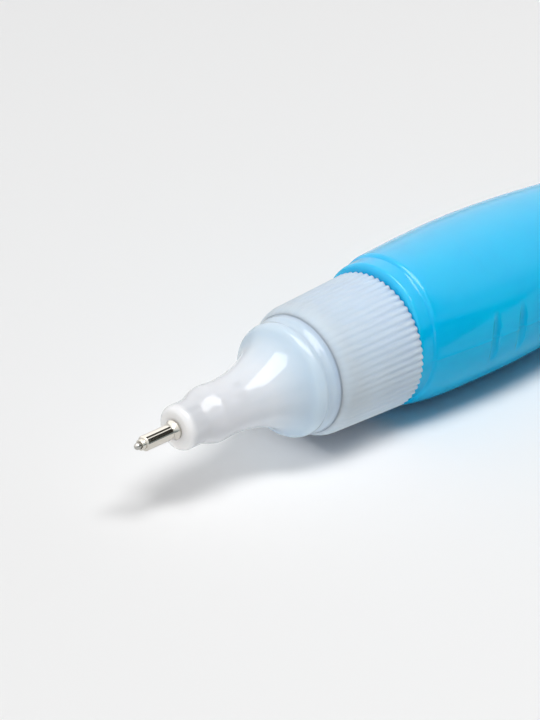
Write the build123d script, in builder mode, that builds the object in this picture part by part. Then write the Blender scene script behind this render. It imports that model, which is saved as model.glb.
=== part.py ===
from build123d import *
from math import cos, pi, radians, sin, sqrt
import os

# A squeeze correction pen with a sprung needle tip, without its cap, lying on its belly.
# Millimetres. The pen lies along X with its tip at minus X, and Z is up.
# Stations along the pen count from the collar's rear rim.

# Barrel, a blow-moulded squeeze bottle
shoulder_x = 2.2                # step at the shoulder, behind the collar's rim
barrel_length = 66.0            # from that step to the tail end
barrel_half_height = 10.3
barrel_wall = 1.0
flank_flat_share = 0.145        # flattening of the flanks at the shoulder
belly_flat_share = 0.02         # flattening of the flanks further back
flank_length = 20.0             # the flanks round out over this length
belly_straight = 12.0           # straight run of the outline behind the shoulder
tail_half_height = 5.55         # where the bow ends and the rounded tail end starts
tail_round = 8.0                # length of the rounded tail end
body_station_shares = (0.0, 0.08, 0.17, 0.27, 0.4, 0.54, 0.68, 0.8, 0.9)
tail_angles = (0, 28, 48, 65, 80)
cavity_tail_angles = (0, 28, 48)
step_height = 0.3
band_recess = 0.3               # the neck band starts this much slimmer than the collar's rim
band_gap = 0.15                 # between collar and neck band
throat_length = 2.5             # inner cone from the neck's bore into the cavity

# Squeeze grooves on both flanks
groove_count = 4
groove_pitch = 4.95
first_groove = 11.2             # behind the shoulder step
groove_radius = 0.8
groove_depth = 0.5
groove_reach = 8.0

# Neck and thread
neck_radius = 6.9
neck_bore = 5.4
thread_pitch = 3.0
thread_height = 0.5
thread_root = 1.2
thread_crest = 0.6
thread_sink = 0.15              # depth of a ridge's root inside its wall
thread_lead_in = 0.9            # from the neck's lip to the middle of the ridge's start
thread_clearance = 0.35         # radial, between the neck's ridge and the collar's bore
flank_clearance = 0.1
neck_thread_turns = 1.75
collar_thread_turns = 1.25

# Screw collar
collar_length = 12.8
collar_wall = 0.59              # behind the ribs, at the rear rim
collar_draft = 0.49             # how much slimmer the ribs' tips are at the front
collar_bevel = 1.7              # length of the rounded front edge
collar_bevel_depth = 0.71
collar_lip = 1.25
collar_clearance = 0.1
rib_count = 60
rib_depth = 0.36
rib_fade_depth = 0.05           # depth of the grooves where they end at the front
rib_width_share = 0.66          # groove width, of the rib pitch
rib_run = 11.0

# Nozzle
seat_ring_length = 1.2          # round ring ahead of the collar, on which a cap seats
seat_ring_chamfer = 0.1
snap_groove_length = 1.2        # between that ring and the bell's rim, for a cap's snap bead
snap_groove_depth = 0.3
rim_inset = 0.05                # the bell's rim is this much slimmer than the ring
rim_round = 0.85
rim_face_angle = 76             # where the rim's round starts, from its crest
rim_length = 1.4                # from the end of the flare to the rim's edge
flare_length = 8.6
flare_radius = 5.85             # at the end of the flare
journal_step = 0.25             # the nozzle is this much slimmer inside the collar's lip
seam_gap = 0.15                 # between the ring's end and the collar's face
flange_width = 0.3              # how far the flange stands out of the ring
flange_thickness = 0.82
flange_play = 0.03
waist_radius = 3.39
bead_height = 0.11
boss_radius = 2.78
waist_length = 2.3
bead_rise = 2.9
boss_length = 2.6
boss_round = 0.8
bell_wall = 1.6
cavity_inset = 0.3              # the bell's mouth is this much wider than the neck's bore

# Metal tip
tip_sleeve_length = 5.0
tip_sleeve_wall = 0.22
tip_flange_width = 0.28
tip_flange_thickness = 0.25
tip_flare_length = 0.65
tip_chamfer = 0.16
tip_nose_length = 0.5
tip_nose_wall = 0.2
tip_shank_wall = 0.33
tip_shank_length = 3.5
tip_bore = 0.72
nose_bore = 0.45
seat_depth = 1.1                # from the nose's face to the valve seat
seat_length = 0.3
press_clearance = 0.01

# Needle
needle_clearance = 0.04         # in the nose's bore
needle_reach = 0.75             # how far the needle stands out of the nose
needle_annulus = 0.17           # fluid's way round the needle in the tip's bore
needle_seat_gap = 0.06
needle_flange_clearance = 0.25
needle_flange_thickness = 0.5
needle_flange_gap = 0.6         # from the tip's shank to the needle's flange
needle_tail = 0.2               # how far the tail stands out behind the holder

# Spring holder
holder_bore = 1.5
holder_wall = 0.4
holder_length = 6.0
holder_end_wall = 0.8
guide_clearance = 0.1
holder_port_count = 4
holder_port_share = 0.6         # port width, of the room between guide and bore

# Valve spring
spring_wire_radius = 0.125
spring_turns = 5
spring_seat_gap = 0.02
arcs_per_turn = 4
samples_per_turn = 36           # points on which the gap between turns is measured

# Neck seal
seal_thickness = 0.4
seal_inset = 0.2                # the seal's hole is this much wider than the neck's bore

# Mixing ball
ball_radius = 3.0
ball_place = 6.0                # behind the shoulder step, at the front of the cavity
ball_clearance = 0.15

overrun = 1.0                   # how far cutters run past what they cut

# Radii of what fits together, from the neck outward
collar_bore = neck_radius + thread_height + thread_clearance
collar_rear_radius = collar_bore + collar_wall + rib_depth
collar_front_radius = collar_rear_radius - collar_draft
collar_face_radius = collar_front_radius - collar_bevel_depth
flange_radius = collar_bore - collar_clearance
seat_ring_radius = flange_radius - flange_width
snap_groove_radius = seat_ring_radius - snap_groove_depth
rim_radius = seat_ring_radius - rim_inset
journal_radius = seat_ring_radius - journal_step
lip_bore = journal_radius + collar_clearance
cavity_radius = neck_bore + cavity_inset
band_radius = collar_rear_radius - band_recess
bead_radius = waist_radius + bead_height

# Radii of the valve, from its bores outward
needle_radius = nose_bore - needle_clearance
needle_body_radius = tip_bore - needle_annulus
needle_flange_radius = holder_bore - needle_flange_clearance
tip_nose_radius = nose_bore + tip_nose_wall
tip_sleeve_radius = tip_bore + tip_sleeve_wall
tip_shank_radius = tip_bore + tip_shank_wall
tip_flange_radius = tip_sleeve_radius + tip_flange_width
holder_radius = holder_bore + holder_wall
holder_guide = needle_body_radius + guide_clearance
spring_radius = (needle_body_radius + holder_bore) / 2

# Stations along the pen
neck_length = collar_length - collar_lip - flange_play - flange_thickness - seal_thickness
lip_x = -neck_length
flange_rear_x = lip_x - seal_thickness
flange_front_x = flange_rear_x - flange_thickness
collar_front_x = -collar_length
seat_ring_x = collar_front_x - seat_ring_length
bell_x = seat_ring_x - snap_groove_length
flare_end_x = bell_x - rim_length
waist_x = flare_end_x - flare_length
bead_x = waist_x - waist_length
boss_x = bead_x - bead_rise
nozzle_front_x = boss_x - boss_length
sleeve_front_x = nozzle_front_x - tip_sleeve_length
nose_x = sleeve_front_x - tip_nose_length
needle_x = nose_x - needle_reach
shank_rear_x = nozzle_front_x + tip_shank_length
holder_front_x = shank_rear_x + press_clearance
holder_rear_x = holder_front_x + holder_length
end_wall_x = holder_rear_x - holder_end_wall
needle_flange_x = shank_rear_x + needle_flange_gap
needle_shoulder_x = needle_flange_x + needle_flange_thickness
tail_x = shoulder_x + barrel_length - tail_round * (1 - sin(radians(tail_angles[-1])))

# The outline draws in to the tail on a bow that starts along the straight belly.
tail_draw = barrel_half_height - tail_half_height
bow_length = barrel_length - tail_round - belly_straight
tail_bow_radius = (bow_length**2 + tail_draw**2) / (2 * tail_draw)

# The origin is under the middle of the pen's length, on the surface that it lies on.
rim_x = -(tail_x + needle_x) / 2
axis_z = barrel_half_height
pen_axis = Axis((rim_x, 0, axis_z), (1, 0, 0))
profile_plane = Plane(origin=(rim_x, 0, axis_z), x_dir=(1, 0, 0), z_dir=(0, -1, 0))


def section_plane(x):
    """A plane across the pen at a station, with its normal towards the tail."""
    return Plane(origin=(rim_x + x, 0, axis_z), x_dir=(0, 1, 0), z_dir=(1, 0, 0))


def half_height(behind_step):
    """The barrel's half height: straight, then drawn in on a bow, then rounded off."""
    bow = max(behind_step - belly_straight, 0)
    drop = tail_bow_radius - sqrt(tail_bow_radius**2 - bow**2)
    into_round = max(behind_step - (barrel_length - tail_round), 0) / tail_round
    return (barrel_half_height - drop) * sqrt(1 - into_round**2)


def flatness(behind_step):
    """How far the flanks are flattened, strongest at the shoulder."""
    rounding = max(1 - behind_step / flank_length, 0)
    return 1 - belly_flat_share - flank_flat_share * rounding**2


def half_width(behind_step):
    return half_height(behind_step) * flatness(behind_step)


def barrel_stations(angles):
    """Distances behind the step: the body by shares, the round tail by angles."""
    body_end = barrel_length - tail_round
    body = [share * body_end for share in body_station_shares]
    tail = [body_end + tail_round * sin(radians(angle)) for angle in angles]
    return body + tail


def thread_section(plane, side):
    """A ridge's section on the given plane, standing out of its wall to one side."""
    with BuildSketch(plane) as section:
        with BuildLine():
            Polyline(
                (-thread_root / 2, -side * thread_sink),
                (thread_root / 2, -side * thread_sink),
                (thread_root / 2, 0),
                (thread_crest / 2, side * thread_height),
                (-thread_crest / 2, side * thread_height),
                (-thread_root / 2, 0),
                close=True,
            )
        make_face()
    return section.sketch


def thread_ridge(start_x, turns, radius, side):
    """A helical ridge on a round wall, outward with side 1 and inward with side -1."""
    start = (rim_x + start_x, 0, axis_z)
    helix = Helix(thread_pitch, turns * thread_pitch, radius, center=start, direction=(1, 0, 0))
    plane = Plane(origin=helix @ 0, x_dir=(1, 0, 0), z_dir=helix % 0)
    with BuildPart() as ridge:
        sweep(thread_section(plane, side), path=helix, is_frenet=True)
    return ridge.part


# Barrel: body, neck band and threaded neck round one cavity, with grooves on both flanks
neck_thread = thread_ridge(lip_x + thread_lead_in, neck_thread_turns, neck_radius, 1)

with BuildPart() as barrel:
    for d in barrel_stations(tail_angles):
        with BuildSketch(section_plane(shoulder_x + d)):
            Ellipse(half_width(d), half_height(d))
    loft()
    with BuildSketch(section_plane(band_gap)):
        Ellipse(band_radius * (1 - belly_flat_share), band_radius)
    with BuildSketch(section_plane(shoulder_x)):
        Ellipse(half_width(0) - step_height, half_height(0) - step_height)
    loft()
    with BuildSketch(section_plane(lip_x)):
        Circle(neck_radius)
    extrude(amount=neck_length + shoulder_x)
    add(neck_thread)
    for d in barrel_stations(cavity_tail_angles):
        with BuildSketch(section_plane(shoulder_x + max(d, throat_length))):
            Ellipse(half_width(d) - barrel_wall, half_height(d) - barrel_wall)
    loft(mode=Mode.SUBTRACT)
    with BuildSketch(section_plane(band_gap)):
        Ellipse(neck_bore * (1 - belly_flat_share), neck_bore)
    with BuildSketch(section_plane(shoulder_x + throat_length)):
        Ellipse(half_width(0) - barrel_wall, half_height(0) - barrel_wall)
    loft(mode=Mode.SUBTRACT)
    with BuildSketch(section_plane(lip_x)):
        Circle(neck_bore)
    extrude(amount=neck_length + shoulder_x, mode=Mode.SUBTRACT)
    for i in range(groove_count):
        d = first_groove + i * groove_pitch
        reach = half_width(d) - groove_depth + groove_radius
        with Locations(
            (rim_x + shoulder_x + d, reach, axis_z),
            (rim_x + shoulder_x + d, -reach, axis_z),
        ):
            Cylinder(groove_radius, groove_reach, mode=Mode.SUBTRACT)
barrel.part.label = "barrel"

# Screw collar: a tapered ring with a lip in front, ribs outside and a thread inside
rib_pitch = 2 * pi * collar_rear_radius / rib_count
rib_half_width = rib_width_share * rib_pitch / 2
rib_end_radius = collar_rear_radius - collar_draft * rib_run / (collar_length - collar_bevel)
rib_drop = (collar_rear_radius - rib_depth) - (rib_end_radius - rib_fade_depth)
rib_slope = rib_half_width / rib_depth

with BuildPart() as rib_groove:
    with BuildSketch(section_plane(0)):
        with BuildLine():
            Polyline(
                (0, collar_rear_radius - rib_depth),
                (rib_slope * (rib_depth + overrun), collar_rear_radius + overrun),
                (-rib_slope * (rib_depth + overrun), collar_rear_radius + overrun),
                close=True,
            )
        make_face()
    extrude(amount=sqrt(rib_run**2 + rib_drop**2), dir=(-rib_run, 0, -rib_drop))

thread_offset = (thread_root + thread_crest) / 2 + flank_clearance
collar_thread = thread_ridge(
    lip_x + thread_lead_in + thread_offset, collar_thread_turns, collar_bore, -1)

with BuildPart() as screw_collar:
    with BuildSketch(profile_plane):
        with BuildLine():
            taper = Line((0, collar_rear_radius), (collar_front_x + collar_bevel, collar_front_radius))
            TangentArc(taper @ 1, (collar_front_x, collar_face_radius), tangent=taper % 1)
            Polyline(
                (collar_front_x, collar_face_radius),
                (collar_front_x, lip_bore),
                (collar_front_x + collar_lip, lip_bore),
                (collar_front_x + collar_lip, collar_bore),
                (0, collar_bore),
                (0, collar_rear_radius),
            )
        make_face()
    revolve(axis=pen_axis)
    for i in range(rib_count):
        add(rib_groove.part.rotate(pen_axis, i * 360 / rib_count), mode=Mode.SUBTRACT)
    add(collar_thread)
screw_collar.part.label = "screw_collar"

# Nozzle: boss, bead, waist and bell, groove and ring for a cap, and a flange under the collar's lip
cavity_front_x = waist_x + bell_wall
rim_start_x = bell_x - rim_round * sin(radians(rim_face_angle))
rim_start_radius = rim_radius - rim_round * (1 - cos(radians(rim_face_angle)))
with BuildPart() as nozzle:
    with BuildSketch(profile_plane):
        with BuildLine():
            front_round = TangentArc(
                (nozzle_front_x, boss_radius - boss_round),
                (nozzle_front_x + boss_round, boss_radius),
                tangent=(0, 1),
            )
            Line(front_round @ 1, (boss_x, boss_radius))
            Spline((boss_x, boss_radius), (bead_x, bead_radius), tangents=[(1, 0), (1, 0)])
            Spline((bead_x, bead_radius), (waist_x, waist_radius), tangents=[(1, 0), (1, 0)])
            flare = TangentArc(
                (waist_x, waist_radius), (flare_end_x, flare_radius), tangent=(1, 0))
            TangentArc(flare @ 1, (rim_start_x, rim_start_radius), tangent=flare % 1)
            TangentArc(
                (bell_x, rim_radius), (rim_start_x, rim_start_radius), tangent=(-1, 0))
            Polyline(
                (bell_x, rim_radius),
                (bell_x, snap_groove_radius),
                (seat_ring_x, snap_groove_radius),
                (seat_ring_x, seat_ring_radius - seat_ring_chamfer),
                (seat_ring_x + seat_ring_chamfer, seat_ring_radius),
                (collar_front_x - seam_gap, seat_ring_radius),
                (collar_front_x - seam_gap, journal_radius),
                (flange_front_x, journal_radius),
                (flange_front_x, flange_radius),
                (flange_rear_x, flange_radius),
                (flange_rear_x, cavity_radius),
                (bell_x + bell_wall, cavity_radius),
            )
            TangentArc(
                (cavity_front_x, holder_radius + press_clearance),
                (bell_x + bell_wall, cavity_radius),
                tangent=(1, 0),
            )
            Polyline(
                (cavity_front_x, holder_radius + press_clearance),
                (shank_rear_x, holder_radius + press_clearance),
                (shank_rear_x, tip_shank_radius + press_clearance),
                (nozzle_front_x, tip_shank_radius + press_clearance),
                (nozzle_front_x, boss_radius - boss_round),
            )
        make_face()
    revolve(axis=pen_axis)
nozzle.part.label = "nozzle"

# Metal tip: stepped nose, sleeve, flange on the nozzle's face and a shank in its bore
seat_x = nose_x + seat_depth
tip_flange_x = nozzle_front_x - tip_flange_thickness
tip_flare_x = tip_flange_x - tip_flare_length
with BuildPart() as metal_tip:
    with BuildSketch(profile_plane):
        with BuildLine():
            Polyline(
                (nose_x, nose_bore),
                (nose_x, tip_nose_radius),
                (sleeve_front_x, tip_nose_radius),
                (sleeve_front_x, tip_sleeve_radius - tip_chamfer),
                (sleeve_front_x + tip_chamfer, tip_sleeve_radius),
                (tip_flare_x, tip_sleeve_radius),
            )
            TangentArc(
                (tip_flare_x, tip_sleeve_radius),
                (tip_flange_x, tip_flange_radius),
                tangent=(1, 0),
            )
            Polyline(
                (tip_flange_x, tip_flange_radius),
                (nozzle_front_x, tip_flange_radius),
                (nozzle_front_x, tip_shank_radius),
                (shank_rear_x, tip_shank_radius),
                (shank_rear_x, tip_bore),
                (seat_x + seat_length, tip_bore),
                (seat_x, nose_bore),
                (nose_x, nose_bore),
            )
        make_face()
    revolve(axis=pen_axis)
metal_tip.part.label = "metal_tip"

# Needle: round end, valve cone on the tip's seat, flange for the spring and a guided tail
seat_slope = (tip_bore - nose_bore) / seat_length
cone_x = seat_x + (needle_radius + needle_seat_gap - nose_bore) / seat_slope
cone_end_x = cone_x + (needle_body_radius - needle_radius) / seat_slope
with BuildPart() as needle:
    with BuildSketch(profile_plane):
        with BuildLine():
            TangentArc(
                (needle_x, 0), (needle_x + needle_radius, needle_radius), tangent=(0, 1))
            Polyline(
                (needle_x + needle_radius, needle_radius),
                (cone_x, needle_radius),
                (cone_end_x, needle_body_radius),
                (needle_flange_x, needle_body_radius),
                (needle_flange_x, needle_flange_radius),
                (needle_shoulder_x, needle_flange_radius),
                (needle_shoulder_x, needle_body_radius),
                (holder_rear_x + needle_tail, needle_body_radius),
                (holder_rear_x + needle_tail, 0),
                (needle_x, 0),
            )
        make_face()
    revolve(axis=pen_axis)
needle.part.label = "needle"

# Spring holder: a cup in the nozzle's bore, with a guide hole and fluid ports in its end wall
with BuildPart() as spring_holder:
    with BuildSketch(section_plane(holder_front_x)):
        Circle(holder_radius)
    extrude(amount=holder_length)
    with BuildSketch(section_plane(holder_front_x)):
        Circle(holder_bore)
    extrude(amount=holder_length - holder_end_wall, mode=Mode.SUBTRACT)
    with BuildSketch(section_plane(end_wall_x)):
        Circle(holder_guide)
        with PolarLocations((holder_guide + holder_bore) / 2, holder_port_count):
            Circle(holder_port_share * (holder_bore - holder_guide) / 2)
    extrude(amount=holder_end_wall, mode=Mode.SUBTRACT)
spring_holder.part.label = "spring_holder"

# Valve spring: one wire along biarcs of a quarter turn, from the needle's flange to the end wall
spring_start_x = needle_shoulder_x + spring_wire_radius + spring_seat_gap
spring_end_x = end_wall_x - spring_wire_radius - spring_seat_gap
spring_pitch = (spring_end_x - spring_start_x) / spring_turns


def spring_point(turn):
    angle = 2 * pi * turn
    return Vector(
        rim_x + spring_start_x + turn * spring_pitch,
        spring_radius * cos(angle),
        axis_z + spring_radius * sin(angle),
    )


def spring_direction(turn):
    angle = 2 * pi * turn
    rise = spring_pitch / (2 * pi * spring_radius)
    return Vector(rise, -sin(angle), cos(angle)).normalized()


def spring_joint(turn, next_turn):
    """Where the two arcs of a biarc meet, between two turns of the wire."""
    start, end = spring_point(turn), spring_point(next_turn)
    leave, arrive = spring_direction(turn), spring_direction(next_turn)
    chord = end - start
    lean = chord.dot(leave + arrive)
    turned = 2 * (1 - leave.dot(arrive))
    reach = (sqrt(lean**2 + turned * chord.dot(chord)) - lean) / turned
    return (start + end + (leave - arrive) * reach) * 0.5


with BuildPart() as valve_spring:
    with BuildLine() as wire:
        for quarter in range(spring_turns * arcs_per_turn):
            turn = quarter / arcs_per_turn
            next_turn = (quarter + 1) / arcs_per_turn
            joint = spring_joint(turn, next_turn)
            first = TangentArc(spring_point(turn), joint, tangent=spring_direction(turn))
            TangentArc(joint, spring_point(next_turn), tangent=first % 1)
    with BuildSketch(Plane(origin=wire.line @ 0, z_dir=wire.line % 0)):
        Circle(spring_wire_radius)
    sweep(path=wire.line)
valve_spring.part.label = "valve_spring"
spring_samples = spring_turns * samples_per_turn
wire_points = [wire.line @ (i / spring_samples) for i in range(spring_samples + 1)]
turn_distance = min(
    (wire_points[j] - wire_points[i]).length
    for i in range(spring_samples)
    for j in range(i + samples_per_turn // 2, spring_samples + 1)
)
print("valve spring, least gap to itself:", round(turn_distance - 2 * spring_wire_radius, 3))

# Neck seal: a washer between the nozzle's flange and the neck's lip
with BuildPart() as neck_seal:
    with BuildSketch(section_plane(flange_rear_x)):
        Circle(neck_radius)
        Circle(neck_bore + seal_inset, mode=Mode.SUBTRACT)
    extrude(amount=seal_thickness)
neck_seal.part.label = "neck_seal"

# Mixing ball: lies loose on the cavity's floor
ball_floor_z = axis_z - half_height(ball_place) + barrel_wall
with BuildPart() as mixing_ball:
    with Locations((rim_x + shoulder_x + ball_place, 0, ball_floor_z + ball_clearance + ball_radius)):
        Sphere(ball_radius)
mixing_ball.part.label = "mixing_ball"

os.makedirs("parts", exist_ok=True)
for piece in (
    barrel, screw_collar, nozzle, metal_tip, needle,
    spring_holder, valve_spring, neck_seal, mixing_ball,
):
    export_step(piece.part, f"parts/{piece.part.label}.step")
    print(piece.part.label, round(piece.part.volume, 2), piece.part.bounding_box().size)
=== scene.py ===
import math
import bpy
import numpy as np
from mathutils import Matrix, Vector


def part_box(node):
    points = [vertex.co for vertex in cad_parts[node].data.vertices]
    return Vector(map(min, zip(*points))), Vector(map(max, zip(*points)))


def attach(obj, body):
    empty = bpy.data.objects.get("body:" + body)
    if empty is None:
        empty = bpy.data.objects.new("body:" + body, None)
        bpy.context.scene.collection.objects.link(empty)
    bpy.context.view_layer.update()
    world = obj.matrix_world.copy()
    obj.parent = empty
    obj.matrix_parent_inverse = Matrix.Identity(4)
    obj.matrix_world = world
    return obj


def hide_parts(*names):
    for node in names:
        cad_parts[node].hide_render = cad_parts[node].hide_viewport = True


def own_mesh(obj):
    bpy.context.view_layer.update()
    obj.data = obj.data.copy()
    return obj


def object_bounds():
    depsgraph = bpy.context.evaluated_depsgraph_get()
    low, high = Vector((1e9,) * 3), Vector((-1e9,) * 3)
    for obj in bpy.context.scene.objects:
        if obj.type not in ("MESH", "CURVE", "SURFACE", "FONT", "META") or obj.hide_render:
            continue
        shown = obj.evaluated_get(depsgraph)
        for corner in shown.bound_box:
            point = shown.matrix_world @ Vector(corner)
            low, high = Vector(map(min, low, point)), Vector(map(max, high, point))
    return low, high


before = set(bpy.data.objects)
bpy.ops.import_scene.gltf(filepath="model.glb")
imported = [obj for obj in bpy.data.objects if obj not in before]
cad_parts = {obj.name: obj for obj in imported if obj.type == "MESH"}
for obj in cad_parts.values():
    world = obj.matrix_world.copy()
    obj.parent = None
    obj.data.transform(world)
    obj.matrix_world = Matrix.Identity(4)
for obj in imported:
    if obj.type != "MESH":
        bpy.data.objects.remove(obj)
cadLow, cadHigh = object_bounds()
print("frame loaded:", len(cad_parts), "nodes")

mm = 0.001
sharpAngle = 40                            # degrees between faces from which an edge stays sharp
collarLow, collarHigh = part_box("screw_collar")
rimX = collarHigh.x                        # stations along the pen count from the collar's rear rim, in mm
axisZ = (collarLow.z + collarHigh.z) / 2   # the pen's axis above the floor


def hexToLinear(value):
    channels = [int(value[i:i + 2], 16) / 255 for i in (1, 3, 5)]
    linear = [c / 12.92 if c <= 0.04045 else ((c + 0.055) / 1.055) ** 2.4 for c in channels]
    return (*linear, 1.0)


def addNode(tree, kind, settings=None, links=None):
    node = tree.nodes.new(kind)
    for key, value in (settings or {}).items():
        if key == "stops":                 # a colour ramp's stops, as (place, hex colour)
            elements = node.color_ramp.elements
            while len(elements) < len(value):
                elements.new(1.0)
            for element, (at, colour) in zip(elements, value):
                element.position = at
                element.color = hexToLinear(colour)
        elif isinstance(key, int) or key in node.inputs:
            node.inputs[key].default_value = value
        else:
            setattr(node, key, value)
    for key, socket in (links or {}).items():
        tree.links.new(socket, node.inputs[key])
    return node


def newMaterial(name, settings):
    material = bpy.data.materials.new(name)
    material.use_nodes = True
    tree = material.node_tree
    tree.nodes.clear()
    shader = addNode(tree, "ShaderNodeBsdfPrincipled", settings)
    addNode(tree, "ShaderNodeOutputMaterial", {}, {"Surface": shader.outputs["BSDF"]})
    place = addNode(tree, "ShaderNodeTexCoord").outputs["Object"]
    return material, tree, shader, place


def perMetre(sizeMm):
    return 1 / (sizeMm * mm)               # a pattern's scale from its real size


# Grids of rings: each ring is one row of points round the pen's axis

def gridPiece(name, rings, material, closed=False):
    rows, around = rings.shape[:2]
    points = rings.reshape(-1, 3).copy()
    index = np.arange(rows * around).reshape(rows, around)
    below = index if closed else index[:-1]
    above = np.roll(index, -1, axis=0) if closed else index[1:]
    quads = np.stack([below, np.roll(below, -1, axis=1), np.roll(above, -1, axis=1), above], axis=-1)
    faces = quads.reshape(-1, 4).tolist()
    if not closed:                         # the end rings close on a point at their middle
        for row, flip in ((index[0], True), (index[-1], False)):
            points = np.vstack([points, points[row].mean(axis=0)])
            for a, b in zip(row, np.roll(row, -1)):
                faces.append([b, a, len(points) - 1] if flip else [a, b, len(points) - 1])
    places = points * mm + np.array([rimX, 0, axisZ])
    mesh = bpy.data.meshes.new(name)
    mesh.from_pydata(places.tolist(), [], faces)
    corners = places[quads.reshape(-1, 4)]
    inside = np.array([rimX, 0, axisZ])
    volume = np.einsum("ij,ij->", corners[:, 0] - inside,
                       np.cross(corners[:, 1] - inside, corners[:, 2] - inside))
    if volume < 0:
        mesh.flip_normals()
    mesh.validate()
    mesh.shade_smooth()
    mesh.set_sharp_from_angle(angle=math.radians(sharpAngle))
    piece = bpy.data.objects.new(name, mesh)
    bpy.context.scene.collection.objects.link(piece)
    mesh.materials.append(material)
    return piece


def circleOf(count):
    return np.arange(count) * 2 * math.pi / count


def lathe(outline, count):
    angles = circleOf(count)
    outline = np.array(outline)
    across = outline[:, 1, None] * np.cos(angles)
    up = outline[:, 1, None] * np.sin(angles)
    along = np.repeat(outline[:, 0, None], count, axis=1)
    return np.stack([along, across, up], axis=-1)


def roundCorners(corners, steps=6):
    # corners of an outline as (station, radius, rounding)
    made = []
    for i, (x, r, rounding) in enumerate(corners):
        here = np.array([x, r])
        back = np.array(corners[i - 1][:2]) - here
        ahead = np.array(corners[(i + 1) % len(corners)][:2]) - here
        if rounding == 0:
            made.append(here)
            continue
        back, ahead = back / np.linalg.norm(back), ahead / np.linalg.norm(ahead)
        half = math.acos(np.clip(back @ ahead, -1, 1)) / 2
        reach = rounding / math.tan(half)
        middle = here + (back + ahead) / np.linalg.norm(back + ahead) * rounding / math.sin(half)
        first, last = here + back * reach - middle, here + ahead * reach - middle
        turn = math.atan2(first[0] * last[1] - first[1] * last[0], first @ last)
        for step in range(steps + 1):
            a = turn * step / steps
            c, s = math.cos(a), math.sin(a)
            made.append(middle + np.array([c * first[0] - s * first[1], s * first[0] + c * first[1]]))
    return made


def tangentArc(start, end, slope, steps):
    # an arc from start to end that leaves start at the given slope, without its first point
    chord = np.array(end) - np.array(start)
    turn = math.remainder(math.atan2(chord[1], chord[0]) - slope, 2 * math.pi)
    radius = np.linalg.norm(chord) / (2 * math.sin(turn))
    made = []
    for step in range(1, steps + 1):
        a = slope + 2 * turn * step / steps
        made.append((start[0] + radius * (math.sin(a) - math.sin(slope)),
                     start[1] + radius * (math.cos(slope) - math.cos(a))))
    return made, slope + 2 * turn


def smooth(t):
    t = np.clip(t, 0, 1)
    return t * t * (3 - 2 * t)


# Thread: a right-handed ridge whose middle starts on top of the neck

thread = dict(pitch=3.0, height=0.5, root=1.2, crest=0.6, leadIn=0.9, runOut=0.35)
neckLip = -10.3                            # station of the neck's lip


def threadHeight(x, angle, start, turns):
    turned = ((angle - math.pi / 2) / (2 * math.pi)) % 1.0
    height = np.zeros(np.broadcast(x, angle).shape)
    slope = thread["height"] / ((thread["root"] - thread["crest"]) / 2)
    for lap in range(math.ceil(turns) + 1):
        turn = turned + lap
        ends = smooth(turn / thread["runOut"]) * smooth((turns - turn) / thread["runOut"])
        offset = np.abs(x - start - turn * thread["pitch"])
        ridge = np.clip((thread["root"] / 2 - offset) * slope, 0, thread["height"])
        height = np.maximum(height, ridge * ends * (turn <= turns))
    return height


# Barrel

barrelShape = dict(
    shoulder=2.2, length=66.0, halfHeight=10.3, wall=1.0,
    flankFlat=0.145, bellyFlat=0.0207, flankLength=20.0, bellyStraight=12.0,
    tailHalfHeight=5.55, tailRound=8.0, tailAngle=80.0, cavityTailAngle=48.0,
    upperFullness=2.15, lowerFullness=1.88,
    stepHigh=0.4, stepWide=0.2, stepFace=0.15, stepAngle=45.0, stepRound=0.8,
    bandHigh=9.0, bandWide=8.35, bandGap=0.12, bandAngle=52.0, bandTaper=2.0, bandRound=0.65,
    keelRise=0.085, keelRun=6.5,
    neckRadius=6.9, neckBore=5.4, neckTurns=1.75, lipRound=0.25, throat=2.5, boreStart=0.6, shelfGap=0.02,
    grooveCount=4, groovePitch=4.6, firstGroove=10.1, grooveRadius=0.8, grooveDepth=0.52, grooveTilt=0.046,
    grooveEdge=0.1, partingHeight=0.05, partingWidth=0.16, partingSpan=2.4, partingPoints=25,
    ringStep=0.45, grooveStep=0.07, neckStep=0.15, tailRings=24, around=256,
)


def barrelHalves(behind):
    s = barrelShape
    draw = s["halfHeight"] - s["tailHalfHeight"]
    bowLength = s["length"] - s["tailRound"] - s["bellyStraight"]
    bowRadius = (bowLength**2 + draw**2) / (2 * draw)
    bow = np.maximum(behind - s["bellyStraight"], 0)
    into = np.clip((behind - (s["length"] - s["tailRound"])) / s["tailRound"], 0, 1)
    high = (s["halfHeight"] - bowRadius + np.sqrt(bowRadius**2 - bow**2)) * np.sqrt(1 - into**2)
    flat = 1 - s["bellyFlat"] - s["flankFlat"] * np.maximum(1 - behind / s["flankLength"], 0) ** 2
    return high * flat, high


def barrelStations(tailAngle):
    s = barrelShape
    bodyEnd = s["length"] - s["tailRound"]
    body = np.arange(0, bodyEnd, s["ringStep"])
    tail = bodyEnd + s["tailRound"] * np.sin(np.radians(np.linspace(0, tailAngle, s["tailRings"])))
    return np.concatenate([body, tail])


def roundedRise(face, faceAngle, endAngle, radius):
    # a straight face at one angle, then an arc that flattens to another, as runs and shares of the rise
    turn = np.radians(np.linspace(faceAngle, endAngle, 16))
    start = math.tan(turn[0]) * face
    run = np.append(0, face + radius * (math.sin(turn[0]) - np.sin(turn)))
    rise = np.append(0, start + radius * (np.cos(turn) - math.cos(turn[0])))
    return run, rise


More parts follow.
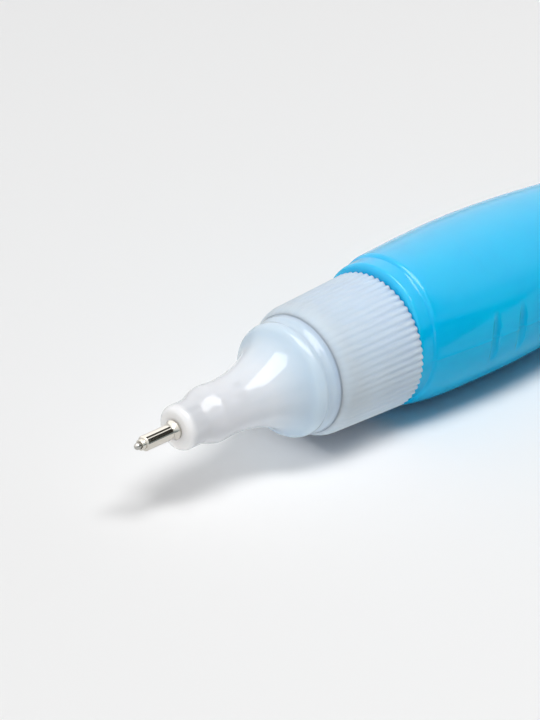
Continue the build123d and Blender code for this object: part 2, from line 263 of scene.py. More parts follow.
def barrelRings():
    s = barrelShape
    # close points on both parting lines
    fine = np.radians(np.linspace(-s["partingSpan"], s["partingSpan"], s["partingPoints"]))
    angles = np.unique(np.concatenate([circleOf(s["around"]), fine % (2 * math.pi), fine + math.pi]))
    angles = angles[np.append(np.diff(angles) > 1e-5, True)]
    grooves = s["firstGroove"] + np.arange(s["grooveCount"]) * s["groovePitch"]
    behind = barrelStations(s["tailAngle"])
    near = np.arange(-s["grooveRadius"], s["grooveRadius"], s["grooveStep"])
    behind = np.unique(np.concatenate([behind, *[g + near for g in grooves]]))
    stepRun, stepRise = roundedRise(s["stepFace"], s["stepAngle"], 0, s["stepRound"])
    behind = np.concatenate([stepRun, behind[behind > stepRun[-1] + 0.05]])
    wide, high = barrelHalves(behind)
    lift = np.interp(behind, stepRun, stepRise / stepRise[-1])     # the shoulder's step
    body = [(s["shoulder"] + b, w - s["stepWide"] * (1 - k), h - s["stepHigh"] * (1 - k), "body")
            for b, w, h, k in zip(behind, wide, high, lift)]
    wide0, high0 = wide[0] - s["stepWide"], high[0] - s["stepHigh"]
    bandStart = s["bandGap"]
    bandEnd = s["shoulder"] - bandStart
    bandRun, bandRise = roundedRise(0, s["bandAngle"], s["bandTaper"], s["bandRound"])
    bandSlope = math.tan(math.radians(s["bandTaper"]))
    for run in np.linspace(bandRun[-1], bandEnd, 9)[1:]:
        bandRise = np.append(bandRise, bandRise[-1] + (run - bandRun[-1]) * bandSlope)
        bandRun = np.append(bandRun, run)
    share = bandRise / bandRise[-1]                        # rounded by the collar, then nearly straight
    band = [(bandStart + run, s["bandWide"] + (wide0 - s["bandWide"]) * t,
             s["bandHigh"] + (high0 - s["bandHigh"]) * t, "band")
            for run, t in zip(bandRun[1:-1], share[1:-1])]
    shelf = [(bandStart, r, r, "shelf") for r in np.linspace(s["neckRadius"], s["bandWide"], 6)]
    neckEnd = bandStart - s["shelfGap"]
    neck = [(x, s["neckRadius"], s["neckRadius"], "neck")
            for x in np.arange(neckLip + s["lipRound"], neckEnd, s["neckStep"])]
    lip = roundCorners([(neckLip, s["neckBore"], s["lipRound"]), (neckLip, s["neckRadius"], s["lipRound"]),
                        (0, s["neckRadius"], 0), (0, s["neckBore"], 0)])[:14]
    lip = [(x, r, r, "lip") for x, r in lip]
    bore = [(x, s["neckBore"], s["neckBore"], "bore")
            for x in np.linspace(neckLip + s["boreStart"], bandStart, 12)]
    inBehind = np.maximum(barrelStations(s["cavityTailAngle"]), s["throat"])
    inWide, inHigh = barrelHalves(np.where(inBehind <= s["throat"], 0, inBehind))
    keep = np.append(np.diff(inBehind) > 0.01, True)
    cavity = [(s["shoulder"] + b, w - s["wall"], h - s["wall"], "cavity")
              for b, w, h in zip(inBehind[keep], inWide[keep], inHigh[keep])][::2]
    # each ring's station, half width, half height and kind, from inside the tail over the lip to the tail
    specs = cavity[::-1] + bore[::-1] + lip + neck + shelf + band + body
    x = np.array([spec[0] for spec in specs])[:, None]
    wide = np.array([spec[1] for spec in specs])[:, None]
    high = np.array([spec[2] for spec in specs])[:, None]
    kind = np.array([spec[3] for spec in specs])[:, None]
    ridge = threadHeight(x, angles, neckLip + thread["leadIn"], s["neckTurns"])
    grow = np.where(kind == "neck", ridge, 0)
    outside = (kind == "body") | (kind == "band")
    power = np.where(np.sin(angles) > 0, s["upperFullness"], s["lowerFullness"])
    fuller = (np.abs(np.cos(angles)) ** power + np.abs(np.sin(angles)) ** power) ** (-1 / power)
    fuller = np.where(outside | (kind == "cavity"), fuller, 1.0)
    across = (wide + grow) * np.cos(angles) * fuller
    up = (high + grow) * np.sin(angles) * fuller
    # the belly rises a little towards the collar
    bow = np.maximum(1 - np.maximum(x - s["shoulder"], 0) / s["keelRun"], 0)
    up = np.where(outside & (up < 0), up * (1 - s["keelRise"] * bow**2), up)
    # squeeze grooves: upright hollows pressed into both flanks
    flank = np.abs(across)
    for g in grooves:
        dx = x - s["shoulder"] - g
        halfWide = barrelHalves(np.array(g))[0]
        bottom = halfWide - s["grooveDepth"] + s["grooveRadius"] + s["grooveTilt"] * up
        bottom = bottom - np.sqrt(np.maximum(s["grooveRadius"]**2 - dx**2, 0))
        bottom = np.where(np.abs(dx) < s["grooveRadius"], bottom, halfWide * 2)
        gap = flank - bottom
        soft = 0.5 * (gap + np.sqrt(gap**2 + s["grooveEdge"]**2)) - s["grooveEdge"] * 0.1
        flank = np.where(outside & (gap > -4 * s["grooveEdge"]), flank - np.maximum(soft, 0), flank)
    across = np.sign(across) * flank
    # parting line: a fine ridge where the mould's halves met
    ridgeShape = np.exp(-(up / s["partingWidth"]) ** 2) * (1 - smooth(s["shoulder"] - x))
    across = across + np.sign(across) * np.where(outside, s["partingHeight"] * (ridgeShape - 1), 0)
    along = np.repeat(x, len(angles), axis=1)
    return np.stack([along, across, up], axis=-1)


def blowMouldedPolyethylene():
    # blow-moulded polyethylene: a clear sky blue, soft gloss, light sinks in a little
    look = dict(colour="#00BEF3", pale="#00C4F7", mottle=7.0, peel=1.1, roughness=(0.1, 0.16),
                scatter=1.5, bump=0.05, bumpHeight=0.02)
    material, tree, shader, place = newMaterial("blowMouldedPolyethylene", {
        "IOR": 1.51, "Subsurface Weight": 0.5, "Subsurface Radius": (0.2, 0.9, 1.0),
        "Subsurface Scale": look["scatter"] * mm,
    })
    mottle = addNode(tree, "ShaderNodeTexNoise", {"Scale": perMetre(look["mottle"]), "Detail": 2.0},
                     {"Vector": place})
    colour = addNode(tree, "ShaderNodeValToRGB", {"stops": [(0.3, look["colour"]), (0.75, look["pale"])]},
                     {"Fac": mottle.outputs["Fac"]})
    tree.links.new(colour.outputs["Color"], shader.inputs["Base Color"])
    least, most = look["roughness"]
    rough = addNode(tree, "ShaderNodeMapRange", {"To Min": least, "To Max": most},
                    {"Value": mottle.outputs["Fac"]})
    tree.links.new(rough.outputs["Result"], shader.inputs["Roughness"])
    peel = addNode(tree, "ShaderNodeTexNoise", {"Scale": perMetre(look["peel"]), "Detail": 1.0},
                   {"Vector": place})
    bump = addNode(tree, "ShaderNodeBump", {"Strength": look["bump"], "Distance": look["bumpHeight"] * mm},
                   {"Height": peel.outputs["Fac"]})
    tree.links.new(bump.outputs["Normal"], shader.inputs["Normal"])
    return material


barrel = gridPiece("barrelShell", barrelRings(), blowMouldedPolyethylene())
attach(barrel, "barrel")
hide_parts("barrel")
print("barrel:", len(barrel.data.vertices), "points")


# Screw collar

collarShape = dict(
    length=12.8, rearRadius=8.7, draft=0.49, bevel=1.7, faceRadius=7.5,
    bore=7.75, lip=1.25, lipBore=7.2, edgeRound=0.06, turns=1.25, threadOffset=1.0,
    ribCount=60, ribDepth=0.11, ribFade=0.035, ribRun=12.8, ribFadeRun=1.4, ribSharpness=1.5,
    rimDepth=0.14, rimRun=1.6, stepsPerRib=12, ringStep=0.28,
)


def collarRings():
    s = collarShape
    angles = circleOf(s["ribCount"] * s["stepsPerRib"])
    frontRadius = s["rearRadius"] - s["draft"]
    front = -s["length"]
    taperSlope = math.atan2(s["draft"], s["length"] - s["bevel"])
    taper = [(x, s["rearRadius"] + s["draft"] * x / (s["length"] - s["bevel"]))
             for x in np.arange(-s["edgeRound"], front + s["bevel"], -s["ringStep"])]
    # the front edge rounds off on an arc that leaves along the taper
    bevel, _ = tangentArc((front + s["bevel"], frontRadius), (front, s["faceRadius"]),
                          math.pi + taperSlope, steps=12)
    lip = roundCorners([
        (front, s["faceRadius"], 0), (front, s["lipBore"], s["edgeRound"]),
        (front + s["lip"], s["lipBore"], s["edgeRound"]), (front + s["lip"], s["bore"], 0),
        (0, s["bore"], 0),
    ])[1:-1]
    bore = [(x, s["bore"]) for x in np.arange(front + s["lip"], -s["edgeRound"], s["ringStep"] / 2)[1:]]
    rear = roundCorners([(front, s["bore"], 0), (0, s["bore"], s["edgeRound"]),
                         (0, s["rearRadius"], s["edgeRound"]), (front, s["rearRadius"], 0)])[1:-1]
    outline = np.array([*taper, (front + s["bevel"], frontRadius), *bevel, *lip, *bore, *rear])
    kind = np.array(["outer"] * (len(taper) + 1 + len(bevel)) + ["plain"] * len(lip)
                    + ["bore"] * len(bore) + ["rear"] * len(rear))[:, None]
    x = outline[:, 0, None]
    r = outline[:, 1, None]
    share = np.clip(-x / s["ribRun"], 0, 1)
    depth = s["ribDepth"] + (s["ribFade"] - s["ribDepth"]) * share
    depth = depth * smooth((x + s["ribRun"] + s["ribFadeRun"] / 2) / s["ribFadeRun"])
    depth = depth + s["rimDepth"] * smooth(1 + x / s["rimRun"])        # deeper at the rear rim
    valley = (0.5 + 0.5 * np.cos(angles * s["ribCount"])) ** s["ribSharpness"]
    outer = (kind == "outer") | ((kind == "rear") & (r > (s["bore"] + s["rearRadius"]) / 2))
    r = np.where(outer, r - depth * valley, r)
    ridge = threadHeight(x, angles, neckLip + thread["leadIn"] + s["threadOffset"], s["turns"])
    r = np.where(kind == "bore", r - ridge, r)
    along = np.repeat(x, len(angles), axis=1)
    return np.stack([along, r * np.cos(angles), r * np.sin(angles)], axis=-1)


def mouldedPolypropylene():
    # injection-moulded polypropylene: pale blue-grey, satin, with a faint milky depth
    look = dict(colour="#C7D7E9", pale="#CCDCED", cloud=5.0, grain=0.25, roughness=(0.38, 0.48),
                scatter=2.0, bump=0.08, bumpHeight=0.01)
    material, tree, shader, place = newMaterial("mouldedPolypropylene", {
        "IOR": 1.49, "Specular IOR Level": 0.3, "Subsurface Weight": 1.0,
        "Subsurface Radius": (0.85, 0.92, 1.0), "Subsurface Scale": look["scatter"] * mm,
    })
    cloud = addNode(tree, "ShaderNodeTexNoise", {"Scale": perMetre(look["cloud"]), "Detail": 2.0},
                    {"Vector": place})
    colour = addNode(tree, "ShaderNodeValToRGB", {"stops": [(0.3, look["colour"]), (0.75, look["pale"])]},
                     {"Fac": cloud.outputs["Fac"]})
    tree.links.new(colour.outputs["Color"], shader.inputs["Base Color"])
    least, most = look["roughness"]
    rough = addNode(tree, "ShaderNodeMapRange", {"To Min": least, "To Max": most},
                    {"Value": cloud.outputs["Fac"]})
    tree.links.new(rough.outputs["Result"], shader.inputs["Roughness"])
    grain = addNode(tree, "ShaderNodeTexNoise", {"Scale": perMetre(look["grain"])}, {"Vector": place})
    bump = addNode(tree, "ShaderNodeBump", {"Strength": look["bump"], "Distance": look["bumpHeight"] * mm},
                   {"Height": grain.outputs["Fac"]})
    tree.links.new(bump.outputs["Normal"], shader.inputs["Normal"])
    return material


collar = gridPiece("ribbedCollar", collarRings(), mouldedPolypropylene(), closed=True)
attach(collar, "collar")
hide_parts("screw_collar")
print("collar:", len(collar.data.vertices), "points")


# Nozzle

nozzleShape = dict(
    front=-33.0, hole=1.06, bossRadius=2.78, bossRound=0.8, boss=-30.4, bead=-27.5, beadRadius=3.5,
    waist=-25.2, waistRadius=3.39, flareEnd=-17.9, flareRadius=5.1,
    rim=-15.1, rimRadius=7.15, rimRound=1.4, rimFaceAngle=56.0, groove=-14.55, grooveRadius=7.05,
    seat=-13.5, seatRadius=7.35, seatEnd=-12.805, seatFillet=0.15, journalRadius=7.1,
    flange=-11.52, flangeEnd=-10.7, flangeRadius=7.65, cornerRound=0.04,
    mouthRadius=5.7, cavityFront=-23.6, cavityEnd=-13.6, bore=1.91, shankEnd=-29.5, around=192,
)


def swells(names):
    # smooth waves between named stations of the nozzle
    s = nozzleShape
    made = []
    for first, second in zip(names[:-1], names[1:]):
        x, r = s[first], s[first + "Radius"]
        run, rise = s[second] - x, s[second + "Radius"] - r
        made += [(x + run * t, r + rise * smooth(t)) for t in np.linspace(0, 1, 20)[:-1]]
    return made + [(s[names[-1]], s[names[-1] + "Radius"])]


def nozzleOutline():
    s = nozzleShape
    made = roundCorners([
        (s["boss"], s["hole"], 0), (s["front"], s["hole"], s["cornerRound"]),
        (s["front"], s["bossRadius"], s["bossRound"]), (s["boss"], s["bossRadius"], 0),
    ], steps=12)[1:-1]
    made = [tuple(p) for p in made]
    made += swells(("boss", "bead", "waist"))
    flare, slope = tangentArc(made[-1], (s["flareEnd"], s["flareRadius"]), 0, steps=40)
    face = math.radians(s["rimFaceAngle"])
    rimStart = (s["rim"] - s["rimRound"] * math.sin(face),
                s["rimRadius"] - s["rimRound"] * (1 - math.cos(face)))
    neck, slope = tangentArc(flare[-1], rimStart, slope, steps=16)
    rim, _ = tangentArc(rimStart, (s["rim"], s["rimRadius"]), face, steps=16)
    made += flare + neck + rim + swells(("rim", "groove", "seat"))[1:]
    c = s["cornerRound"]
    back = roundCorners([
        (s["seat"], s["seatRadius"], 0), (s["seatEnd"] - s["seatFillet"], s["seatRadius"], s["seatFillet"]),
        (s["seatEnd"], s["seatRadius"] + s["seatFillet"], 0),
        (s["seatEnd"], s["journalRadius"], c), (s["flange"], s["journalRadius"], c),
        (s["flange"], s["flangeRadius"], c), (s["flangeEnd"], s["flangeRadius"], c),
        (s["flangeEnd"], s["mouthRadius"], c), (s["cavityEnd"], s["mouthRadius"], 0),
    ])[1:-1]
    made += [tuple(p) for p in back]
    cavity, _ = tangentArc((s["cavityFront"], s["bore"]), (s["cavityEnd"], s["mouthRadius"]), 0, steps=24)
    made += cavity[::-1]
    made += [(s["cavityFront"], s["bore"]), (s["shankEnd"], s["bore"]), (s["shankEnd"], s["hole"])]
    return made


def naturalPolyethyleneWithPaintedLight():
    # injection-moulded natural polyethylene: milky and glossy. Its colour runs along the pen: near-white on
    # the front face, which is painted light from the front, greyer just behind it, and bluer towards the bell
    # and seat, which is painted blue light from the bottle showing through the wall
    look = dict(
        # the first stop paints the front face near-white as painted light; the last, bluer stops are painted
        # light of the blue bottle showing through
        stops=[(0.0, "#F8F8F9"), (0.06, "#D7D9DD"), (0.35, "#DFE1E6"), (0.62, "#DFE5EC"),
               (0.82, "#CADCEA"), (0.93, "#C9DAE8"), (1.0, "#BAD0E7")],
        cloud=4.0, roughness=(0.01, 0.03), scatter=2.0,
    )
    s = nozzleShape
    material, tree, shader, place = newMaterial("naturalPolyethyleneWithPaintedLight", {
        "IOR": 1.51, "Subsurface Weight": 0.8, "Subsurface Radius": (0.9, 0.95, 1.0),
        "Subsurface Scale": look["scatter"] * mm,
    })
    along = addNode(tree, "ShaderNodeSeparateXYZ", {}, {"Vector": place})
    share = addNode(tree, "ShaderNodeMapRange",
                    {"From Min": rimX + s["front"] * mm, "From Max": rimX + s["seatEnd"] * mm},
                    {"Value": along.outputs["X"]})
    colour = addNode(tree, "ShaderNodeValToRGB", {"stops": look["stops"]}, {"Fac": share.outputs["Result"]})
    tree.links.new(colour.outputs["Color"], shader.inputs["Base Color"])
    cloud = addNode(tree, "ShaderNodeTexNoise", {"Scale": perMetre(look["cloud"])}, {"Vector": place})
    least, most = look["roughness"]
    rough = addNode(tree, "ShaderNodeMapRange", {"To Min": least, "To Max": most},
                    {"Value": cloud.outputs["Fac"]})
    tree.links.new(rough.outputs["Result"], shader.inputs["Roughness"])
    return material


nozzle = gridPiece("bellNozzle", lathe(nozzleOutline(), nozzleShape["around"]),
                   naturalPolyethyleneWithPaintedLight(), closed=True)
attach(nozzle, "head")
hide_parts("nozzle")
print("nozzle:", len(nozzle.data.vertices), "points")


# Metal tip

tipShape = dict(
    nose=-38.5, noseBore=0.45, noseRadius=0.65, sleeveFront=-38.0, sleeveRadius=0.94, chamfer=0.16,
    flareStart=-33.9, flange=-33.25, flangeRadius=1.22, face=-33.0, shankRadius=1.05, shankEnd=-29.5,
    bore=0.72, seat=-37.4, seatEnd=-37.1, edge=0.03, around=96,
)


def tipOutline():
    s = tipShape
    e = s["edge"]
    front = roundCorners([
        (s["seat"], s["noseBore"], 0), (s["nose"], s["noseBore"], e), (s["nose"], s["noseRadius"], e * 2),
        (s["sleeveFront"], s["noseRadius"], e), (s["sleeveFront"], s["sleeveRadius"] - s["chamfer"], e),
        (s["sleeveFront"] + s["chamfer"], s["sleeveRadius"], e * 2), (s["flareStart"], s["sleeveRadius"], 0),
    ])
    flare, _ = tangentArc((s["flareStart"], s["sleeveRadius"]), (s["flange"], s["flangeRadius"]), 0, steps=10)
    rear = roundCorners([
        (s["flareStart"], s["sleeveRadius"], 0), (s["flange"], s["flangeRadius"], e),
        (s["face"], s["flangeRadius"], e), (s["face"], s["shankRadius"], 0),
        (s["shankEnd"], s["shankRadius"], e), (s["shankEnd"], s["bore"], e),
        (s["seatEnd"], s["bore"], 0), (s["seat"], s["noseBore"], 0),
    ])[1:-1]
    return [tuple(p) for p in front] + flare[:-1] + [tuple(p) for p in rear]


def nickelPlatedBrass():
    # turned brass with bright nickel: warm silver, mirror-like, with faint turning rings,
    # which are drawn coarser than a lathe leaves them so that they show
    look = dict(colour="#D2CDC4", ring=0.12, across=40, roughness=(0.03, 0.08), bump=0.06, bumpHeight=0.004)
    material, tree, shader, place = newMaterial("nickelPlatedBrass", {
        "Base Color": hexToLinear(look["colour"]), "Metallic": 1.0,
    })
    scale = (perMetre(look["ring"]), look["across"], look["across"])
    stretch = addNode(tree, "ShaderNodeVectorMath", {"operation": "MULTIPLY", 1: scale}, {0: place})
    rings = addNode(tree, "ShaderNodeTexNoise", {"Scale": 1.0, "Detail": 2.0},
                    {"Vector": stretch.outputs["Vector"]})
    least, most = look["roughness"]
    rough = addNode(tree, "ShaderNodeMapRange", {"To Min": least, "To Max": most},
                    {"Value": rings.outputs["Fac"]})
    tree.links.new(rough.outputs["Result"], shader.inputs["Roughness"])
    bump = addNode(tree, "ShaderNodeBump", {"Strength": look["bump"], "Distance": look["bumpHeight"] * mm},
                   {"Height": rings.outputs["Fac"]})
    tree.links.new(bump.outputs["Normal"], shader.inputs["Normal"])
    return material


tip = gridPiece("metalTip", lathe(tipOutline(), tipShape["around"]), nickelPlatedBrass(), closed=True)
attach(tip, "head")
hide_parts("metal_tip")
print("metal tip:", len(tip.data.vertices), "points")


# Needle

needleShape = dict(
    front=-39.25, radius=0.41, coneStart=-37.378, coneEnd=-37.222, bodyRadius=0.55,
    flange=-28.9, flangeEnd=-28.4, flangeRadius=1.25, tail=-23.29, edge=0.03, around=72,
)


def needleOutline():
    s = needleShape
    made = [(s["front"] + s["radius"] * (1 - math.cos(a)), s["radius"] * math.sin(a))
            for a in np.linspace(0.02, math.pi / 2, 14)]
    e = s["edge"]
    made += [tuple(p) for p in roundCorners([
        (s["front"], s["radius"], 0), (s["coneStart"], s["radius"], 0), (s["coneEnd"], s["bodyRadius"], 0),
        (s["flange"], s["bodyRadius"], e), (s["flange"], s["flangeRadius"], e),
        (s["flangeEnd"], s["flangeRadius"], e), (s["flangeEnd"], s["bodyRadius"], e),
        (s["tail"], s["bodyRadius"], e * 2), (s["tail"], e, 0), (s["front"], e, 0),
    ])[1:-1]]
    return made


def groundStainless():
    # ground stainless steel: neutral grey shine with fine grinding lines round the pin
    look = dict(colour="#B4B2AD", line=0.06, across=60, roughness=(0.05, 0.12))
    material, tree, shader, place = newMaterial("groundStainless", {
        "Base Color": hexToLinear(look["colour"]), "Metallic": 1.0,
    })
    scale = (perMetre(look["line"]), look["across"], look["across"])
    stretch = addNode(tree, "ShaderNodeVectorMath", {"operation": "MULTIPLY", 1: scale}, {0: place})
    lines = addNode(tree, "ShaderNodeTexNoise", {"Scale": 1.0}, {"Vector": stretch.outputs["Vector"]})
    least, most = look["roughness"]
    rough = addNode(tree, "ShaderNodeMapRange", {"To Min": least, "To Max": most},
                    {"Value": lines.outputs["Fac"]})
    tree.links.new(rough.outputs["Result"], shader.inputs["Roughness"])
    return material


needle = gridPiece("valveNeedle", lathe(needleOutline(), needleShape["around"]), groundStainless())
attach(needle, "needle")
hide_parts("needle")
print("needle:", len(needle.data.vertices), "points")


# Valve spring

springShape = dict(wire=0.125, radius=1.025, turns=5, start=-28.255, end=-24.435, stepsPerTurn=32, around=12)


def springRings():
    s = springShape
    turn = np.linspace(0, s["turns"], s["turns"] * s["stepsPerTurn"] + 1)
    angle = 2 * math.pi * turn
    pitch = (s["end"] - s["start"]) / s["turns"]
    centre = np.stack([s["start"] + pitch * turn, s["radius"] * np.cos(angle),
                       s["radius"] * np.sin(angle)], axis=-1)
    ahead = np.stack([np.full_like(turn, pitch / (2 * math.pi)), -s["radius"] * np.sin(angle),
                      s["radius"] * np.cos(angle)], axis=-1)
    ahead = ahead / np.linalg.norm(ahead, axis=1)[:, None]
    outward = np.stack([np.zeros_like(turn), np.cos(angle), np.sin(angle)], axis=-1)
    side = np.cross(ahead, outward)
    around = circleOf(s["around"])
    return centre[:, None] + s["wire"] * (outward[:, None] * np.cos(around)[None, :, None]
                                          + side[:, None] * np.sin(around)[None, :, None])


def drawnSpringWire():
    # drawn stainless spring wire: grey, with a dull drawn skin
    look = dict(colour="#B9B9BB", streak=0.3, roughness=(0.25, 0.4))
    material, tree, shader, place = newMaterial("drawnSpringWire", {
        "Base Color": hexToLinear(look["colour"]), "Metallic": 1.0,
    })
    streak = addNode(tree, "ShaderNodeTexNoise", {"Scale": perMetre(look["streak"])}, {"Vector": place})
    least, most = look["roughness"]
    rough = addNode(tree, "ShaderNodeMapRange", {"To Min": least, "To Max": most},
                    {"Value": streak.outputs["Fac"]})
    tree.links.new(rough.outputs["Result"], shader.inputs["Roughness"])
    return material


spring = gridPiece("valveSpringCoil", springRings(), drawnSpringWire())
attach(spring, "head")
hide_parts("valve_spring")
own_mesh(spring)
print("valve spring:", len(spring.data.vertices), "points")


# Pieces inside that keep their solids

def mouldedAcetal():
    # moulded acetal: slippery, dense white
    look = dict(colour="#E8E8E3", pale="#EFEFEB", cloud=1.2, roughness=(0.25, 0.35))
    material, tree, shader, place = newMaterial("mouldedAcetal", {"IOR": 1.48})
    cloud = addNode(tree, "ShaderNodeTexNoise", {"Scale": perMetre(look["cloud"])}, {"Vector": place})
    colour = addNode(tree, "ShaderNodeValToRGB", {"stops": [(0.3, look["colour"]), (0.7, look["pale"])]},
                     {"Fac": cloud.outputs["Fac"]})
    tree.links.new(colour.outputs["Color"], shader.inputs["Base Color"])
    least, most = look["roughness"]
    rough = addNode(tree, "ShaderNodeMapRange", {"To Min": least, "To Max": most},
                    {"Value": cloud.outputs["Fac"]})
    tree.links.new(rough.outputs["Result"], shader.inputs["Roughness"])
    return material


def polyethyleneFoam():
    # die-cut polyethylene foam: soft white, with fine closed cells
    look = dict(colour="#DDDDD6", pale="#ECECE7", cell=0.3, bump=0.4, bumpHeight=0.05)
    material, tree, shader, place = newMaterial("polyethyleneFoam", {"Roughness": 0.8})
    cells = addNode(tree, "ShaderNodeTexVoronoi", {"Scale": perMetre(look["cell"])}, {"Vector": place})
    colour = addNode(tree, "ShaderNodeValToRGB", {"stops": [(0.1, look["pale"]), (0.8, look["colour"])]},
                     {"Fac": cells.outputs["Distance"]})
    tree.links.new(colour.outputs["Color"], shader.inputs["Base Color"])
    bump = addNode(tree, "ShaderNodeBump", {"Strength": look["bump"], "Distance": look["bumpHeight"] * mm},
                   {"Height": cells.outputs["Distance"]})
    tree.links.new(bump.outputs["Normal"], shader.inputs["Normal"])
    return material


def rolledSteel():
    # rolled steel ball: bright grey, with fine scuffs from rolling
    look = dict(colour="#C4C4C2", scuff=0.5, roughness=(0.12, 0.3))
    material, tree, shader, place = newMaterial("rolledSteel", {
        "Base Color": hexToLinear(look["colour"]), "Metallic": 1.0,
    })
    scuff = addNode(tree, "ShaderNodeTexNoise", {"Scale": perMetre(look["scuff"]), "Detail": 4.0},
                    {"Vector": place})
    least, most = look["roughness"]
    rough = addNode(tree, "ShaderNodeMapRange", {"To Min": least, "To Max": most},
                    {"Value": scuff.outputs["Fac"]})
    tree.links.new(rough.outputs["Result"], shader.inputs["Roughness"])
    return material


for node, material in (("spring_holder", mouldedAcetal()), ("neck_seal", polyethyleneFoam()),
                       ("mixing_ball", rolledSteel())):
    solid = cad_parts[node]
    solid.data.materials.clear()
    solid.data.materials.append(material)
print("inner pieces finished")


# Floor, light and camera

studio = dict(
    floorColour="#EFEFEF", floorSize=6.0, floorGap=0.01,
    boxHeight=1.2, boxOffset=(0.05, -0.30), boxTurn=-45.5, shineSize=(1.4, 0.76), shinePower=16.0,
    keyGap=0.02, keySize=(0.62, 0.35), keyPower=8.7, milkyPower=5.0,
    fillFrom=(-0.9, 0.12, 0.36), fillLevel=1.05,
    fillStops=[(0.0, "#FFFFFF"), (0.17, "#F0F0F0"), (0.3, "#808080"), (0.38, "#101010"), (1.0, "#000000")],
    roomFrom=(-0.15, 0.5, 0.85), roomLevel=1.6,
    roomStops=[(0.0, "#FFFFFF"), (0.27, "#FFFFFF"), (0.34, "#E8E8E8"), (0.39, "#DCDCDC"),
               (0.42, "#DADCDC"), (0.49, "#C8CCCD"), (0.573, "#8C9699"), (0.62, "#869295"),
               (0.66, "#142A30"), (1.0, "#0C1E24")],
    flagStart=(-13.4, -16.9), flagTowards=(0.73, -0.68), flagLength=327.0, flagHeight=17.0,
    # after the flag come the grey card's colour, edge and lift: a painted shade of the pen's shadow on the
    # floor, seen only in what is glossy
    flagColour="#050505", paintedShadeColour="#9C9C9C", paintedShadeSide=-6.0, paintedShadeLift=0.02,
)
# dark strips well away from the pen that the metal tip mirrors:
# edges in degrees from the top, ends in mm, colour
tipStrips = dict(reach=150.0, strips=((-20, 8, 58, 82, "#55534E"), (22, 76, 50, 84, "#4A4844")))


def paintedBoard():
    # painted studio board: flat, pale and even
    return newMaterial("paintedBoard", {
        "Base Color": hexToLinear(studio["floorColour"]), "Roughness": 0.9, "Specular IOR Level": 0.2,
    })[0]


def mattCard(colour):
    # matt card: flat, with no shine of its own
    return newMaterial("mattCard", {
        "Base Color": hexToLinear(colour), "Roughness": 0.9, "Specular IOR Level": 0.0,
    })[0]


def stagePlane(name, corners, material):
    mesh = bpy.data.meshes.new(name)
    mesh.from_pydata(corners, [], [(0, 1, 2, 3)])
    plane = bpy.data.objects.new(name, mesh)
    bpy.context.scene.collection.objects.link(plane)
    mesh.materials.append(material)
    return plane


half = studio["floorSize"] / 2
floorZ = cadLow.z - studio["floorGap"] * mm
stagePlane("floor", [(x * half, y * half, floorZ) for x, y in ((-1, -1), (1, -1), (1, 1), (-1, 1))],
           paintedBoard())


def glossCard(name, corners, colour):
    # a card that shows only in what is glossy, and takes no light away
    card = stagePlane(name, corners, mattCard(colour))
    card.visible_camera = False
    card.visible_diffuse = False
    card.visible_transmission = False
    card.visible_shadow = False


# a long black flag beside the pen ends the floor that its flank mirrors
flagA = Vector((*studio["flagStart"], 0)) * mm
flagB = flagA + Vector((*studio["flagTowards"], 0)) * studio["flagLength"] * mm
flagUp = Vector((0, 0, studio["flagHeight"] * mm))
glossCard("flankFlag", [flagA, flagB, flagB + flagUp, flagA + flagUp], studio["flagColour"])
# and a grey card on the floor between the pen and the flag is painted shade: it darkens what is left of the
# floor that the flank mirrors, standing in for the pen's shadow there
paintedShadeUp = Vector((0, 0, studio["paintedShadeLift"] * mm))
paintedShadeA = Vector((flagA.x, studio["paintedShadeSide"] * mm, 0))
paintedShadeB = Vector((flagB.x, studio["paintedShadeSide"] * mm, 0))
glossCard("paintedShadeCard", [corner + paintedShadeUp for corner in (flagA, flagB, paintedShadeB, paintedShadeA)], studio["paintedShadeColour"])

# two dark strips give the metal tip its lengthwise bands
for number, (first, second, front, rear, colour) in enumerate(tipStrips["strips"]):
    corners = []
    for turn, end in ((first, front), (second, front), (second, rear), (first, rear)):
        a = math.radians(turn)
        out = Vector((0, -math.sin(a), math.cos(a))) * tipStrips["reach"]
        corners.append((out + Vector((end, 0, 0))) * mm + Vector((rimX, 0, axisZ)))
    glossCard(f"tipStrip{number}", corners, colour)


def softbox(name, size, power, raised):
    lamp = bpy.data.lights.new(name, "AREA")
    lamp.shape = "RECTANGLE"
    lamp.size, lamp.size_y = size
    lamp.energy = power
    lampObject = bpy.data.objects.new(name, lamp)
    offsetX, offsetY = studio["boxOffset"]
    lampObject.location = (rimX + offsetX, offsetY, studio["boxHeight"] + raised)
    lampObject.rotation_euler.z = math.radians(studio["boxTurn"])
    bpy.context.scene.collection.objects.link(lampObject)
    return lampObject


# the box's whole front shows in what is glossy, and its inner part gives the light
shine = softbox("softboxShine", studio["shineSize"], studio["shinePower"], 0)
shine.visible_diffuse = False
shine.visible_transmission = False
key = softbox("softboxKey", studio["keySize"], studio["keyPower"], studio["keyGap"])
key.visible_glossy = False
# part of the light goes through the milky head, so that its shadow is pale
milky = softbox("softboxMilky", studio["keySize"], studio["milkyPower"], studio["keyGap"] * 2)
milky.visible_glossy = False
passed = bpy.data.collections.new("milkyHead")
headPieces = [nozzle, collar, tip, needle, spring]
headPieces += [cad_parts[node] for node in ("spring_holder", "neck_seal")]
for piece in headPieces:
    passed.objects.link(piece)
for entry in passed.collection_objects:
    entry.light_linking.link_state = "EXCLUDE"
milky.light_linking.blocker_collection = passed

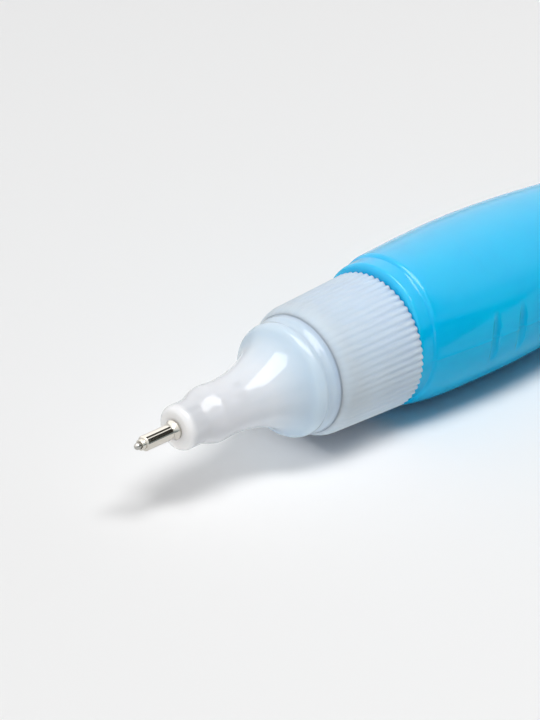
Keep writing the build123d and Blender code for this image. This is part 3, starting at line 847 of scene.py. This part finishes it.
world = bpy.data.worlds.new("studio")
bpy.context.scene.world = world
world.use_nodes = True
tree = world.node_tree
tree.nodes.clear()
direction = addNode(tree, "ShaderNodeTexCoord").outputs["Generated"]
sides = []
for side in ("fill", "room"):              # the fill lights the pen, and the room shows in what is glossy
    middle = Vector(studio[side + "From"]).normalized()
    towards = addNode(tree, "ShaderNodeVectorMath", {"operation": "DOT_PRODUCT", 1: middle}, {0: direction})
    turned = addNode(tree, "ShaderNodeMath", {"operation": "ARCCOSINE"}, {0: towards.outputs["Value"]})
    share = addNode(tree, "ShaderNodeMath", {"operation": "DIVIDE", 1: math.pi}, {0: turned.outputs["Value"]})
    shade = addNode(tree, "ShaderNodeValToRGB", {"stops": studio[side + "Stops"]},
                    {"Fac": share.outputs["Value"]})
    sides.append(addNode(tree, "ShaderNodeBackground", {"Strength": studio[side + "Level"]},
                         {"Color": shade.outputs["Color"]}))
path = addNode(tree, "ShaderNodeLightPath").outputs
# beyond the floor the camera sees the same room that glossy and clear things show
shown = path["Is Glossy Ray"]
for ray in ("Is Camera Ray", "Is Transmission Ray"):
    either = addNode(tree, "ShaderNodeMath", {"operation": "MAXIMUM"}, {0: shown, 1: path[ray]})
    shown = either.outputs["Value"]
mix = addNode(tree, "ShaderNodeMixShader", {}, {0: shown, 1: sides[0].outputs["Background"],
                                                2: sides[1].outputs["Background"]})
addNode(tree, "ShaderNodeOutputWorld", {}, {"Surface": mix.outputs["Shader"]})

cameraSet = dict(eye=(-283.17, -232.29, 204.99), target=(-26.79, 4.836, 9.928), roll=3.6, lens=167.2)
camera = bpy.data.cameras.new("camera")
camera.lens = cameraSet["lens"]
camera.sensor_width = 36.0
cameraObject = bpy.data.objects.new("camera", camera)
eye, target = Vector(cameraSet["eye"]) * mm, Vector(cameraSet["target"]) * mm
aim = (target - eye).to_track_quat("-Z", "Y").to_matrix().to_4x4()
roll = Matrix.Rotation(math.radians(cameraSet["roll"]), 4, "Z")
cameraObject.matrix_world = Matrix.Translation(eye) @ aim @ roll
bpy.context.scene.collection.objects.link(cameraObject)
bpy.context.scene.camera = cameraObject
bpy.context.scene.view_settings.view_transform = "Standard"
print("studio set")
